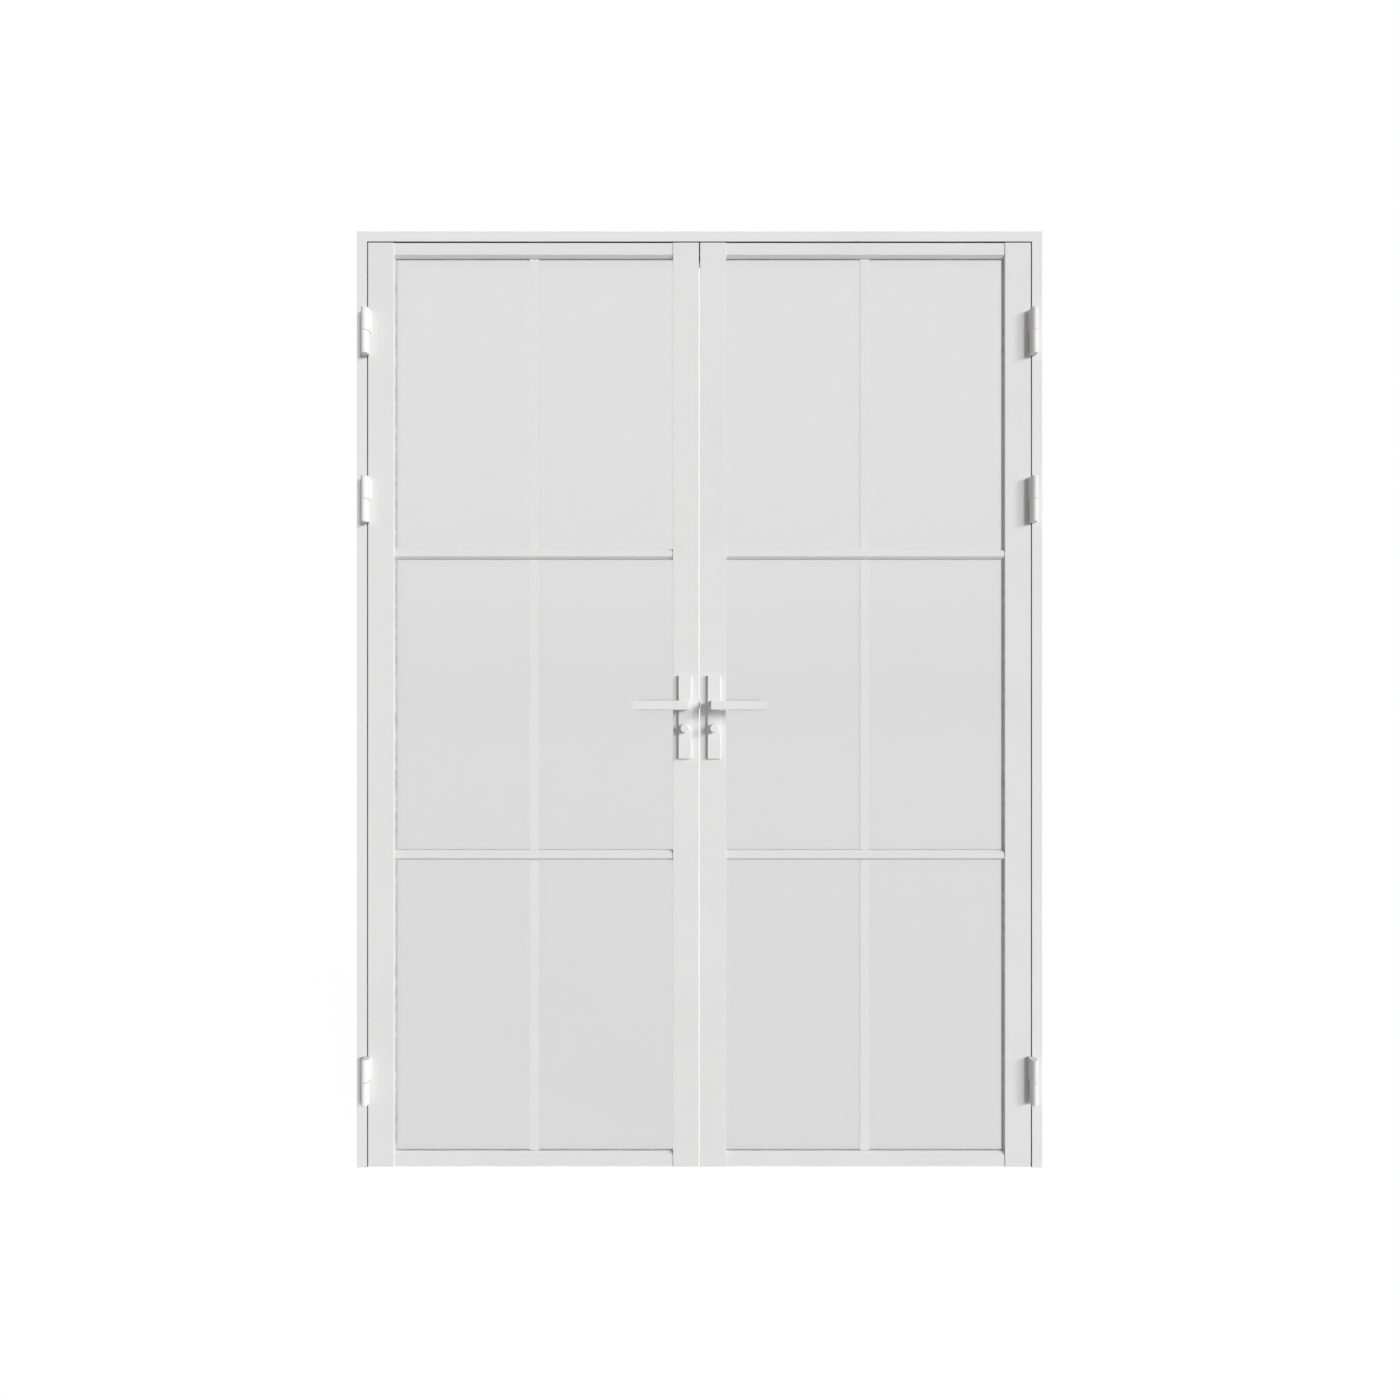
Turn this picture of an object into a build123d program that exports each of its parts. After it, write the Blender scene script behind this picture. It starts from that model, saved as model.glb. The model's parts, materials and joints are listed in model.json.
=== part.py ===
from build123d import *
import math
import os

# A pair of glazed steel doors with their frame, closed, in millimetres.
# +X is to the right and +Z up, seen from the room the doors open into, and that
# room lies on the -Y side. x = 0 is the middle of the gap between the leaves,
# y = 0 the middle of the leaf's thickness, and z = 0 the foot of the frame.

# Leaf and running gaps
leaf_width = 830.0
leaf_height = 2318.0
leaf_depth = 40.0
meeting_gap = 3.0
frame_gap = 3.0
floor_gap = 2.0

# Leaf sections
steel_wall = 2.0
stile_width = 65.0
rail_height = 35.0
bar_height = 25.0
bar_web = 5.0
lip_width = 10.0
lip_depth = 8.0
stile_lip_depth = 4.0
bar_step = 1.5
bevel = 6.0
edge_radius = 0.8

# Glazing
tape = 2.5
tape_width = 6.5
glass_thickness = 9.0
glass_clearance = 3.0
strip_width = 22.5
strip_thickness = 1.5
bead_wall = 1.5
fit_gap = 0.3

# Frame section
frame_face = 25.0
frame_depth = 60.0
stop_width = 25.0
seal_thickness = 2.7
seal_width = 10.0
gap_seal_thickness = 1.5
gap_seal_width = 10.0
head_seal_setback = 0.5
side_seal_setback = 1.5
foot_plate = 3.0
fixing_radius = 4.25
low_fixing_heights = [250.0, 850.0]
high_fixing_drops = [820.0, 220.0]
head_fixing_x = 400.0

# Hinges
barrel_radius = 9.5
barrel_clearance = 0.8
barrel_length = 56.0
washer_thickness = 2.0
washer_play = 0.1
pin_radius = 5.0
pin_reach = 46.0
pin_fit = 0.01
pin_play = 0.06
weld_foot_width = 7.0
low_hinge_height = 220.0
top_hinge_drop = 228.0
middle_hinge_drop = 647.0

# Lever handles
backset = 35.0
lever_height = 1160.0
lever_reach = 126.0
lever_blade_height = 22.5
lever_blade_thickness = 10.0
lever_neck_width = 17.0
lever_face_standoff = 56.0
lever_edge = 1.2
journal_radius = 9.5
plate_width = 32.0
plate_length = 208.0
plate_above_lever = 74.0
plate_thickness = 9.0
plate_edge = 0.8
bolt_hole_floor = 3.0
spindle_side = 8.0
spindle_length = 88.0
socket_play = 0.05

# Thumb turns
turn_drop = 57.0
turn_radius = 11.0
turn_standoff = 20.0
turn_edge = 1.5
release_radius = 8.0
release_standoff = 3.0
coin_slot_width = 2.0
coin_slot_depth = 1.5
turn_socket_depth = 8.0
turn_spindle_side = 5.0
turn_journal_radius = 5.0

# Lock cases
face_plate_width = 20.0
face_plate_top = 60.0
face_plate_bottom = 120.0
case_top = 45.0
case_bottom = 100.0
case_behind_spindle = 17.0
case_side_play = 0.5
case_wall = 1.5
lug_depth = 8.0
plate_bolt_above = 32.5
plate_bolt_below = 110.0
plate_bolt_radius = 2.5
face_screw_radius = 2.0
follower_radius = 9.5
part_play = 0.3

# Latch and deadbolt of the active leaf
nose_reach = 13.0
nose_radius = 2.5
nose_play = 0.8
roller_radius = 6.0
roller_length = 18.0
roller_project = 2.0
roller_pin_radius = 1.5
carriage_half_height = 12.0
carriage_wall = 1.5
strap_height = 3.5
riser_width = 4.0
hook_width = 3.0
hook_lift = 1.2
turn_nose_reach = 11.0
deadbolt_height = 21.0
deadbolt_thickness = 10.0
deadbolt_recess = 0.5
deadbolt_neck = 2.0
strike_above = 17.0
strike_below = 25.0

# Shoot bolts of the passive leaf
gear_module = 1.25
gear_teeth = 16
gear_thickness = 8.0
rack_thickness = 3.4
rack_length = 52.0
bolt_radius = 4.5
bolt_length = 80.0
bolt_recess = 1.0
bolt_inset = 1.0
keep_thickness = 3.0
keep_reach = 20.0
keep_play = 0.5

# Worked-out places
leaf_inner = meeting_gap / 2
leaf_outer = leaf_inner + leaf_width
leaf_bottom = floor_gap
leaf_top = leaf_bottom + leaf_height
leaf_front = -leaf_depth / 2
leaf_back = leaf_depth / 2
infill_front = leaf_front + bar_step
infill_back = leaf_back - bar_step
body_width = stile_width - lip_width
body_inner = leaf_inner + body_width
body_outer = leaf_outer - body_width
sight_inner = leaf_inner + stile_width
sight_outer = leaf_outer - stile_width
lip_back = leaf_front + lip_depth
stile_lip_back = leaf_front + stile_lip_depth
glass_front = lip_back + tape
glass_back = glass_front + glass_thickness
bead_front = glass_back + tape
lite_height = (leaf_height - 2 * rail_height - 2 * bar_height) / 3
lite_bottoms = [leaf_bottom + rail_height + i * (lite_height + bar_height) for i in range(3)]
frame_inner = leaf_outer + frame_gap
frame_outer = frame_inner + frame_face
head_under = leaf_top + frame_gap
head_top = head_under + frame_face
stop_front = leaf_back + seal_thickness + part_play
frame_back = leaf_front + frame_depth
hinge_x = (leaf_outer + frame_inner) / 2
hinge_y = leaf_front - barrel_radius - barrel_clearance
fixing_heights = low_fixing_heights + [leaf_top - drop for drop in high_fixing_drops]
hinge_heights = [leaf_bottom + low_hinge_height, leaf_top - middle_hinge_drop,
                 leaf_top - top_hinge_drop]
spindle_x = leaf_inner + backset
turn_height = lever_height - turn_drop
plate_front = leaf_front - plate_thickness
case_front = leaf_inner + steel_wall
case_back = spindle_x + case_behind_spindle
case_width = 2 * (roller_radius + case_side_play + case_wall)
rack_offset = gear_module * gear_teeth / 2 + 1.2 * gear_module + rack_thickness / 2
passive_case_front = spindle_x - rack_offset - rack_thickness / 2 - case_wall - 2 * part_play
top_bolt_x = spindle_x + rack_offset - bolt_inset
bottom_bolt_x = spindle_x - rack_offset
roller_axis = leaf_inner - roller_project + roller_radius


def mirrored(shape):
    """The same piece on the left leaf."""
    return mirror(shape, about=Plane.YZ)


def block(x0, x1, y0, y1, z0, z1):
    """A plain box between two corners."""
    return Pos((x0 + x1) / 2, (y0 + y1) / 2, (z0 + z1) / 2) * Box(x1 - x0, y1 - y0, z1 - z0)


def rod_y(x, z, radius, y0, y1):
    """A round bar or hole along Y."""
    return Pos(x, (y0 + y1) / 2, z) * Rot(90, 0, 0) * Cylinder(radius, y1 - y0)


def rod_x(y, z, radius, x0, x1):
    """A round bar or hole along X."""
    return Pos((x0 + x1) / 2, y, z) * Rot(0, 90, 0) * Cylinder(radius, x1 - x0)


def rod_z(x, y, radius, z0, z1):
    """A round bar or hole along Z."""
    return Pos(x, y, (z0 + z1) / 2) * Cylinder(radius, z1 - z0)


def plan_prism(points, z0, z1):
    """An outline in plan (x, y), run up from z0 to z1."""
    face = make_face(Polyline(*points, close=True))
    return Pos(0, 0, z0) * extrude(face, z1 - z0)


def side_prism(points, x0, x1):
    """An outline seen from the end (y, z), run along X from x0 to x1."""
    outline = [(x0, y, z) for y, z in points]
    face = make_face(Polyline(*outline, close=True))
    return extrude(face, amount=x1 - x0, dir=(1, 0, 0))


def elevation_prism(face, y0, y1):
    """A face drawn in (x, z), run back from y0 to y1."""
    return Pos(0, y1, 0) * Rot(90, 0, 0) * extrude(face, y1 - y0)


def grouped(pieces):
    """Separate equal pieces that share one file."""
    return Compound(children=[solid for piece in pieces for solid in piece.solids()])


# Leaf members, all drawn on the right leaf

def stile(edge, inward):
    """A hollow stile with its flat glazing lip. inward is +1 or -1, from its outer edge."""
    def across(distance):
        return edge + inward * distance

    outline = [(across(0), leaf_front), (across(stile_width), leaf_front),
               (across(stile_width), stile_lip_back), (across(body_width), stile_lip_back),
               (across(body_width), leaf_back), (across(0), leaf_back)]
    bar = plan_prism(outline, leaf_bottom, leaf_top)
    long_edges = bar.edges().filter_by(Axis.Z)
    sharp = [e for e in long_edges if abs(e.center().Y) > leaf_depth / 2 - 1]
    bar = fillet(sharp, edge_radius)
    cavity = [across(steel_wall), across(body_width - steel_wall)]
    return bar - block(min(cavity), max(cavity), leaf_front + steel_wall, leaf_back - steel_wall,
                       leaf_bottom + steel_wall, leaf_top - steel_wall)


def rail(edge, inward):
    """A hollow rail with its bevelled lip. inward is +1 (bottom rail) or -1 (top rail)."""
    def up(distance):
        return edge + inward * distance

    body = rail_height - lip_width
    face = rail_height - bevel
    outline = [(infill_front, up(0)), (infill_front, up(face)),
               (infill_front + bevel, up(rail_height)), (lip_back, up(rail_height)),
               (lip_back, up(body)), (infill_back, up(body)), (infill_back, up(0))]
    bar = side_prism(outline, body_inner, body_outer)
    inner_face = face - steel_wall * math.tan(math.radians(22.5))
    hollow_front = infill_front + steel_wall
    hollow_lip = lip_back - steel_wall
    hollow = [(hollow_front, up(steel_wall)), (hollow_front, up(inner_face)),
              (hollow_lip, up(inner_face + hollow_lip - hollow_front)),
              (hollow_lip, up(body - steel_wall)), (infill_back - steel_wall, up(body - steel_wall)),
              (infill_back - steel_wall, up(steel_wall))]
    bar -= side_prism(hollow, body_inner, body_outer)
    return bar - lip_notches(leaf_bottom, leaf_top)


def lip_notches(z0, z1):
    """The room that the two stile lips take out of a rail or bar."""
    left = block(body_inner, sight_inner, leaf_front, stile_lip_back, z0, z1)
    right = block(sight_outer, body_outer, leaf_front, stile_lip_back, z0, z1)
    return left + right


def glazing_bar(middle):
    """A T-section: a bevelled flange in front and a web between the panes."""
    half = bar_height / 2
    face = half - bevel
    web = bar_web / 2
    upper = [(infill_front, face), (infill_front + bevel, half), (lip_back, half),
             (lip_back, web), (infill_back, web)]
    lower = [(y, -z) for y, z in reversed(upper)]
    outline = [(y, middle + z) for y, z in upper + lower]
    return side_prism(outline, body_inner, body_outer) - lip_notches(leaf_bottom, leaf_top)


def pane(bottom):
    """One sheet of laminated glass, its edges hidden behind the lips."""
    reach = lip_width - glass_clearance
    return block(sight_inner - reach, sight_outer + reach, glass_front, glass_back,
                 bottom - reach, bottom + lite_height + reach)


def tape_ring(bottom, y0):
    """A ring of glazing tape round one lite, flush with the lips."""
    x0, x1, z0, z1 = sight_inner, sight_outer, bottom, bottom + lite_height
    outer = block(x0 - tape_width, x1 + tape_width, y0, y0 + tape, z0 - tape_width, z1 + tape_width)
    return outer - block(x0, x1, y0, y0 + tape, z0, z1)


def front_gasket(bottom):
    """The front ring, its sides thickened to fill up behind the flatter lips of the stiles."""
    ring = tape_ring(bottom, lip_back)
    for x in (sight_inner - tape_width, sight_outer):
        ring += block(x, x + tape_width, stile_lip_back, lip_back, bottom, bottom + lite_height)
    return ring


def strips(bottom):
    """The flat upright bonded to the front and the back of one pane."""
    middle = (sight_inner + sight_outer) / 2
    x0, x1 = middle - strip_width / 2, middle + strip_width / 2
    z0, z1 = bottom + fit_gap, bottom + lite_height - fit_gap
    front = block(x0, x1, glass_front - strip_thickness, glass_front, z0, z1)
    back = block(x0, x1, glass_back, glass_back + strip_thickness, z0, z1)
    return [front, back]


def level_bead(edge, inward):
    """A hollow rear bead along a rail or bar, bevelled like the front lip."""
    def up(distance):
        return edge + inward * distance

    outline = [(bead_front, up(0)), (infill_back, up(0)), (infill_back, up(lip_width - bevel)),
               (infill_back - bevel, up(lip_width)), (bead_front, up(lip_width))]
    hollow = block(body_inner, body_outer, bead_front + bead_wall, infill_back - bevel,
                   min(up(bead_wall), up(lip_width - bead_wall)),
                   max(up(bead_wall), up(lip_width - bead_wall)))
    return side_prism(outline, body_inner, body_outer) - hollow


def upright_bead(x0, x1, z0, z1):
    """A square rear bead along a stile."""
    hollow = block(x0 + bead_wall, x1 - bead_wall, bead_front + bead_wall,
                   infill_back - bead_wall, z0, z1)
    return block(x0, x1, bead_front, infill_back, z0, z1) - hollow


def lite_beads(bottom):
    """The four beads behind one lite."""
    top = bottom + lite_height
    return [level_bead(bottom - lip_width, 1), level_bead(top + lip_width, -1),
            upright_bead(body_inner, sight_inner, bottom, top),
            upright_bead(sight_outer, body_outer, bottom, top)]


def lock_cuts():
    """What the lock, the levers and the through bolts take out of a lock stile."""
    half = face_plate_width / 2 + part_play / 2
    slot = block(leaf_inner, leaf_inner + steel_wall, -half, half,
                 lever_height - face_plate_bottom - part_play / 2,
                 lever_height + face_plate_top + part_play / 2)
    reach = leaf_depth / 2
    cuts = slot + rod_y(spindle_x, lever_height, journal_radius + 2 * part_play, -reach, reach)
    cuts += rod_y(spindle_x, turn_height, turn_journal_radius + 2 * part_play, -reach, reach)
    for z in (lever_height + plate_bolt_above, lever_height - plate_bolt_below):
        cuts += rod_y(spindle_x, z, plate_bolt_radius + part_play, -reach, reach)
    return cuts


def upper_barrel(z):
    """The leaf's half of a hinge, capped on top, with the foot that is welded to the leaf."""
    z0 = z + washer_thickness / 2 + washer_play
    z1 = z + washer_thickness / 2 + barrel_length
    foot = block(leaf_outer - weld_foot_width, leaf_outer, hinge_y, leaf_front, z0, z1)
    barrel = rod_z(hinge_x, hinge_y, barrel_radius, z0, z1)
    barrel = chamfer(barrel.edges().sort_by(Axis.Z)[-1], edge_radius)
    bore = rod_z(hinge_x, hinge_y, pin_radius + pin_play, z0, z + pin_reach + washer_thickness)
    return barrel + foot - bore


def lower_barrel(z):
    """The frame's half of a hinge, closed below, with its weld foot on the jamb."""
    z0 = z - washer_thickness / 2 - barrel_length
    z1 = z - washer_thickness / 2
    foot = block(frame_inner, frame_inner + weld_foot_width, hinge_y, leaf_front, z0, z1)
    barrel = rod_z(hinge_x, hinge_y, barrel_radius, z0, z1)
    barrel = chamfer(barrel.edges().sort_by(Axis.Z)[0], edge_radius)
    bore = rod_z(hinge_x, hinge_y, pin_radius + pin_fit, z - pin_reach, z1)
    return barrel + foot - bore


def hinge_pin(z):
    """The steel pin that stands in the lower barrel."""
    pin = rod_z(hinge_x, hinge_y, pin_radius, z - pin_reach, z + pin_reach)
    return chamfer(pin.edges().filter_by(GeomType.CIRCLE), edge_radius)


def hinge_washer(z):
    """The washer that the upper barrel turns on."""
    z0 = z - washer_thickness / 2
    ring = rod_z(hinge_x, hinge_y, barrel_radius, z0, z0 + washer_thickness)
    return ring - rod_z(hinge_x, hinge_y, pin_radius + pin_play, z0, z0 + washer_thickness)


# Handle sets

def plate_blank(y0, y1):
    """A long handle plate with softened edges."""
    z1 = lever_height + plate_above_lever
    half = plate_width / 2
    return block(spindle_x - half, spindle_x + half, y0, y1, z1 - plate_length, z1)


def front_plate():
    """The plate on the room side: softened face, blind holes for the through bolts."""
    plate = plate_blank(plate_front, leaf_front)
    plate = chamfer(plate.faces().sort_by(Axis.Y)[0].edges(), plate_edge)
    plate -= rod_y(spindle_x, lever_height, journal_radius + part_play, plate_front, leaf_front)
    plate -= rod_y(spindle_x, turn_height, turn_journal_radius + part_play, plate_front, leaf_front)
    for z in (lever_height + plate_bolt_above, lever_height - plate_bolt_below):
        plate -= rod_y(spindle_x, z, plate_bolt_radius + pin_fit, plate_front + bolt_hole_floor, leaf_front)
    return plate


def rear_plate():
    """The plate on the far side, with countersunk holes for the bolts."""
    back = leaf_back + plate_thickness
    plate = plate_blank(leaf_back, back)
    plate = chamfer(plate.faces().sort_by(Axis.Y)[-1].edges(), plate_edge)
    plate -= rod_y(spindle_x, lever_height, journal_radius + part_play, leaf_back, back)
    plate -= rod_y(spindle_x, turn_height, turn_journal_radius + part_play, leaf_back, back)
    for z in (lever_height + plate_bolt_above, lever_height - plate_bolt_below):
        plate -= plate_bolt(z, pin_fit)
    return plate


def plate_bolt(z, play=0.0):
    """A countersunk through bolt, its head in the rear plate."""
    back = leaf_back + plate_thickness
    tip = plate_front + bolt_hole_floor + part_play
    shank = rod_y(spindle_x, z, plate_bolt_radius + play, tip, back)
    cone = Cone(plate_bolt_radius + play, 2 * plate_bolt_radius + play, plate_bolt_radius)
    head = Pos(spindle_x, back - plate_bolt_radius / 2, z) * Rot(-90, 0, 0) * cone
    return shank + head


def lever(side):
    """A lever bent from flat bar. side is -1 for the front and +1 for the rear."""
    def out(distance):
        return side * (leaf_depth / 2 + distance)

    back_end = spindle_x - lever_neck_width / 2
    inner_face = lever_face_standoff - lever_blade_thickness
    outline = [(back_end, out(plate_thickness + part_play)), (back_end, out(lever_face_standoff)),
               (spindle_x + lever_reach, out(lever_face_standoff)),
               (spindle_x + lever_reach, out(inner_face)),
               (back_end + lever_neck_width, out(inner_face)),
               (back_end + lever_neck_width, out(plate_thickness + part_play))]
    z0 = lever_height - lever_blade_height / 2
    bar = plan_prism(outline, z0, z0 + lever_blade_height)
    ends = bar.faces().filter_by(Axis.Z)
    bar = chamfer([edge for face in ends for edge in face.edges()], lever_edge)
    ys = sorted([out(3), out(plate_thickness + part_play + 1)])
    bar += rod_y(spindle_x, lever_height, journal_radius, *ys)
    ys = sorted([out(0), out(spindle_length / 2 - leaf_depth / 2 + 1)])
    half = spindle_side / 2 + socket_play
    return bar - block(spindle_x - half, spindle_x + half, *ys, lever_height - half, lever_height + half)


def square_spindle(z, side, y0, y1):
    """A square bar that carries both handles through the lock."""
    half = side / 2
    return block(spindle_x - half, spindle_x + half, y0, y1, z - half, z + half)


def thumb_turn():
    """The round knob on the front plate, with its grip pinched flat on two sides."""
    face = plate_front - turn_standoff
    knob = rod_y(spindle_x, turn_height, turn_radius, face, plate_front - part_play)
    knob = chamfer(knob.edges().sort_by(Axis.Y)[0], turn_edge)
    neck = rod_y(spindle_x, turn_height, turn_journal_radius, plate_front - 1, leaf_front)
    half = turn_spindle_side / 2 + socket_play
    return knob + neck - block(spindle_x - half, spindle_x + half,
                               plate_front - turn_socket_depth, leaf_front,
                               turn_height - half, turn_height + half)


def coin_release():
    """The low boss on the rear plate, with a slot for a coin."""
    plate_back = leaf_back + plate_thickness
    face = plate_back + release_standoff
    boss = rod_y(spindle_x, turn_height, release_radius, plate_back + part_play, face)
    neck = rod_y(spindle_x, turn_height, turn_journal_radius, leaf_back, plate_back + 1)
    slot = block(spindle_x - coin_slot_width / 2, spindle_x + coin_slot_width / 2,
                 face - coin_slot_depth, face,
                 turn_height - release_radius, turn_height + release_radius)
    half = turn_spindle_side / 2 + socket_play
    socket = block(spindle_x - half, spindle_x + half, leaf_back, plate_back,
                   turn_height - half, turn_height + half)
    return boss + neck - slot - socket


# Lock cases

def case_shell(front):
    """A flat hollow case with its two fixing lugs. front is where its forward wall stands."""
    half = case_width / 2
    z0, z1 = lever_height - case_bottom, lever_height + case_top
    shell = block(front, case_back, -half, half, z0, z1)
    shell -= block(front + case_wall, case_back - case_wall, -half + case_wall, half - case_wall,
                   z0 + case_wall, z1 - case_wall)
    lug_end = max(front + case_wall, case_front + lug_depth)
    for low, high in ((lever_height - face_plate_bottom + 4, z0),
                      (z1, lever_height + face_plate_top - 2)):
        shell += block(case_front, lug_end, -half, half, low, high)
    if front > case_front:
        for low, high in ((z0, z0 + case_wall), (z1 - case_wall, z1)):
            shell += block(case_front, front, -half, half, low, high)
    for z, radius in ((lever_height, follower_radius), (turn_height, release_radius)):
        shell -= rod_y(spindle_x, z, radius + part_play, -half, half)
    for z in face_screw_heights():
        shell -= rod_x(0, z, face_screw_radius + pin_fit, case_front, case_front + lug_depth)
    tube = rod_y(spindle_x, lever_height + plate_bolt_above, plate_bolt_radius + case_wall, -half, half)
    shell += tube
    return shell - rod_y(spindle_x, lever_height + plate_bolt_above,
                         plate_bolt_radius + part_play, -half, half)


def face_screw_heights():
    """Where the two face plate screws stand."""
    top = lever_height + (case_top + face_plate_top) / 2
    bottom = lever_height - (case_bottom + face_plate_bottom) / 2 + 1
    return [top, bottom]


def face_screw(z, play=0.0):
    """A countersunk screw in the edge of the leaf."""
    shank = rod_x(0, z, face_screw_radius + play, leaf_inner, case_front + lug_depth - 1)
    cone = Cone(2 * face_screw_radius + play, face_screw_radius + play, face_screw_radius)
    head = Pos(leaf_inner + face_screw_radius / 2, 0, z) * Rot(0, 90, 0) * cone
    return shank + head


def latch_window():
    """The opening that the roller comes out through."""
    half = carriage_half_height + 2 * part_play
    side = roller_radius + 2 * part_play
    return block(leaf_inner, case_front + case_wall, -side, side, lever_height - half, lever_height + half)


def deadbolt_window():
    """The opening that the deadbolt slides through."""
    z0 = turn_height - deadbolt_height / 4
    side = deadbolt_thickness / 2 + part_play
    return block(leaf_inner, case_front + case_wall, -side, side,
                 z0 - part_play, z0 + deadbolt_height + part_play)


def face_plate(windows):
    """The strip let into the edge of a lock stile."""
    half = face_plate_width / 2
    plate = block(leaf_inner, case_front, -half, half,
                  lever_height - face_plate_bottom, lever_height + face_plate_top)
    for window in windows:
        plate -= window
    for z in face_screw_heights():
        plate -= face_screw(z, pin_fit)
    return plate


def strike_window():
    """The tall recess in the passive leaf that takes the roller."""
    side = roller_radius + 2 * part_play
    return block(leaf_inner, case_front, -side, side, lever_height - strike_below,
                 lever_height + strike_above)


def nosed_follower(z, hub, reach, tilt):
    """A follower with a round-tipped nose, which points up when tilt is 0."""
    tip_x = reach * math.sin(math.radians(tilt))
    tip_z = reach * math.cos(math.radians(tilt))
    body = rod_y(spindle_x, z, hub, -case_width / 2, case_width / 2)
    arm = Pos(tip_x / 2 + spindle_x, 0, tip_z / 2 + z) * Rot(0, tilt, 0)
    body += arm * Box(2 * nose_radius - 1, gear_thickness, reach)
    return body + rod_y(spindle_x + tip_x, z + tip_z, nose_radius, -gear_thickness / 2, gear_thickness / 2)


def square_hole(z, side):
    """The square socket through a follower."""
    half = case_width / 2 + 1
    return square_spindle(z, side + 2 * socket_play, -half, half)


def latch_carriage():
    """The sprung slide that carries the roller, with the hook that the follower pulls."""
    half_y = roller_radius - part_play - 1
    end = roller_axis + roller_radius + carriage_wall
    cheek = roller_length / 2 + part_play
    start = case_front + part_play
    low, high = lever_height - carriage_half_height, lever_height + carriage_half_height
    body = block(start, end, -half_y, half_y, low, high)
    body -= block(start, roller_axis + roller_radius + part_play, -half_y, half_y,
                  lever_height - cheek, lever_height + cheek)
    body -= rod_z(roller_axis, 0, roller_pin_radius + pin_fit, low, high)
    half_t = gear_thickness / 2
    hook_x = spindle_x + nose_radius + nose_play
    nose_top = lever_height + nose_reach + nose_radius + part_play
    strap_top = nose_top + strap_height
    riser = block(end - riser_width, end, -half_t, half_t, high, strap_top)
    strap = block(end - riser_width, hook_x + hook_width, -half_t, half_t, nose_top, strap_top)
    hook = block(hook_x, hook_x + hook_width, -half_t, half_t,
                 lever_height + follower_radius + hook_lift, nose_top)
    return body + riser + strap + hook


def latch_roller():
    """The roller that snaps into the other leaf."""
    z0 = lever_height - roller_length / 2
    wheel = rod_z(roller_axis, 0, roller_radius, z0, z0 + roller_length)
    wheel = fillet(wheel.edges().filter_by(GeomType.CIRCLE), edge_radius)
    return wheel - rod_z(roller_axis, 0, roller_pin_radius + pin_play, z0, z0 + roller_length)


def roller_pin():
    """The pin that the roller spins on."""
    return rod_z(roller_axis, 0, roller_pin_radius, lever_height - carriage_half_height,
                 lever_height + carriage_half_height)


def deadbolt():
    """The bolt with its notched tail, drawn back."""
    z0 = turn_height - deadbolt_height / 4
    z1 = z0 + deadbolt_height
    half = deadbolt_thickness / 2
    half_t = gear_thickness / 2
    head_end = spindle_x - release_radius - part_play - deadbolt_neck
    bolt_head = block(leaf_inner + deadbolt_recess, head_end, -half, half, z0, z1)
    notch_x = spindle_x + turn_nose_reach * math.sin(math.radians(45))
    tail_z = turn_height + release_radius + part_play
    notch_top = turn_height + turn_nose_reach + nose_radius + part_play
    wide = nose_radius + nose_play
    tail = block(head_end - 1, notch_x + wide + hook_width, -half_t, half_t, tail_z, z1)
    notch = block(notch_x - wide, notch_x + wide, -half, half, tail_z, notch_top)
    return bolt_head + tail - notch


def pinion():
    """The toothed wheel on the passive leaf's spindle."""
    pitch = gear_module * gear_teeth / 2
    root = pitch - 1.2 * gear_module
    tip = pitch + gear_module
    hub = rod_y(spindle_x, lever_height, root - 1, -case_width / 2, case_width / 2)
    wheel = rod_y(spindle_x, lever_height, root, -gear_thickness / 2, gear_thickness / 2)
    root_half, tip_half = 0.95 * gear_module, 0.35 * gear_module
    profile = [(root - 1, -root_half), (tip, -tip_half), (tip, tip_half), (root - 1, root_half)]
    tooth = make_face(Polyline(*profile, close=True))
    teeth = [Rot(0, 0, i * 360 / gear_teeth) * tooth for i in range(gear_teeth)]
    ring = Pos(spindle_x, 0, lever_height) * elevation_prism(Sketch() + teeth,
                                                           -gear_thickness / 2, gear_thickness / 2)
    return hub + wheel + ring - square_hole(lever_height, spindle_side)


def rack(side):
    """A toothed bar beside the pinion. side is +1 for the top rod and -1 for the bottom rod."""
    pitch_r = gear_module * gear_teeth / 2
    pitch = math.pi * gear_module
    line = spindle_x + side * pitch_r
    root = line + side * 1.2 * gear_module
    back = root + side * rack_thickness
    half_t = gear_thickness / 2
    z0, z1 = lever_height - rack_length / 2, lever_height + rack_length / 2
    bar = block(min(root, back), max(root, back), -half_t, half_t, z0, z1)
    tip = line - side * 0.9 * gear_module
    root_half, tip_half = 0.9 * gear_module, 0.3 * gear_module
    count = int(rack_length / pitch / 2)
    for i in range(-count, count):
        z = lever_height + (i + 0.5) * pitch
        profile = [(root + side * 0.5, z - root_half), (tip, z - tip_half),
                   (tip, z + tip_half), (root + side * 0.5, z + root_half)]
        tooth = make_face(Polyline(*profile, close=True))
        bar += elevation_prism(tooth, -half_t, half_t)
    return bar, spindle_x + side * rack_offset


def shoot_rod(side):
    """A rack with its rod and the round bolt at the end of the leaf."""
    bar, middle = rack(side)
    half_t = gear_thickness / 2
    half_x = rack_thickness / 2
    if side > 0:
        end = leaf_top - bolt_recess
        bar += block(middle - half_x, middle + half_x, -half_t, half_t,
                     lever_height + rack_length / 2, end - bolt_length)
        return bar + rod_z(top_bolt_x, 0, bolt_radius, end - bolt_length, end)
    end = leaf_bottom + bolt_recess
    bar += block(middle - half_x, middle + half_x, -half_t, half_t, end + bolt_length,
                 lever_height - rack_length / 2)
    return bar + rod_z(bottom_bolt_x, 0, bolt_radius, end, end + bolt_length)


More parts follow.
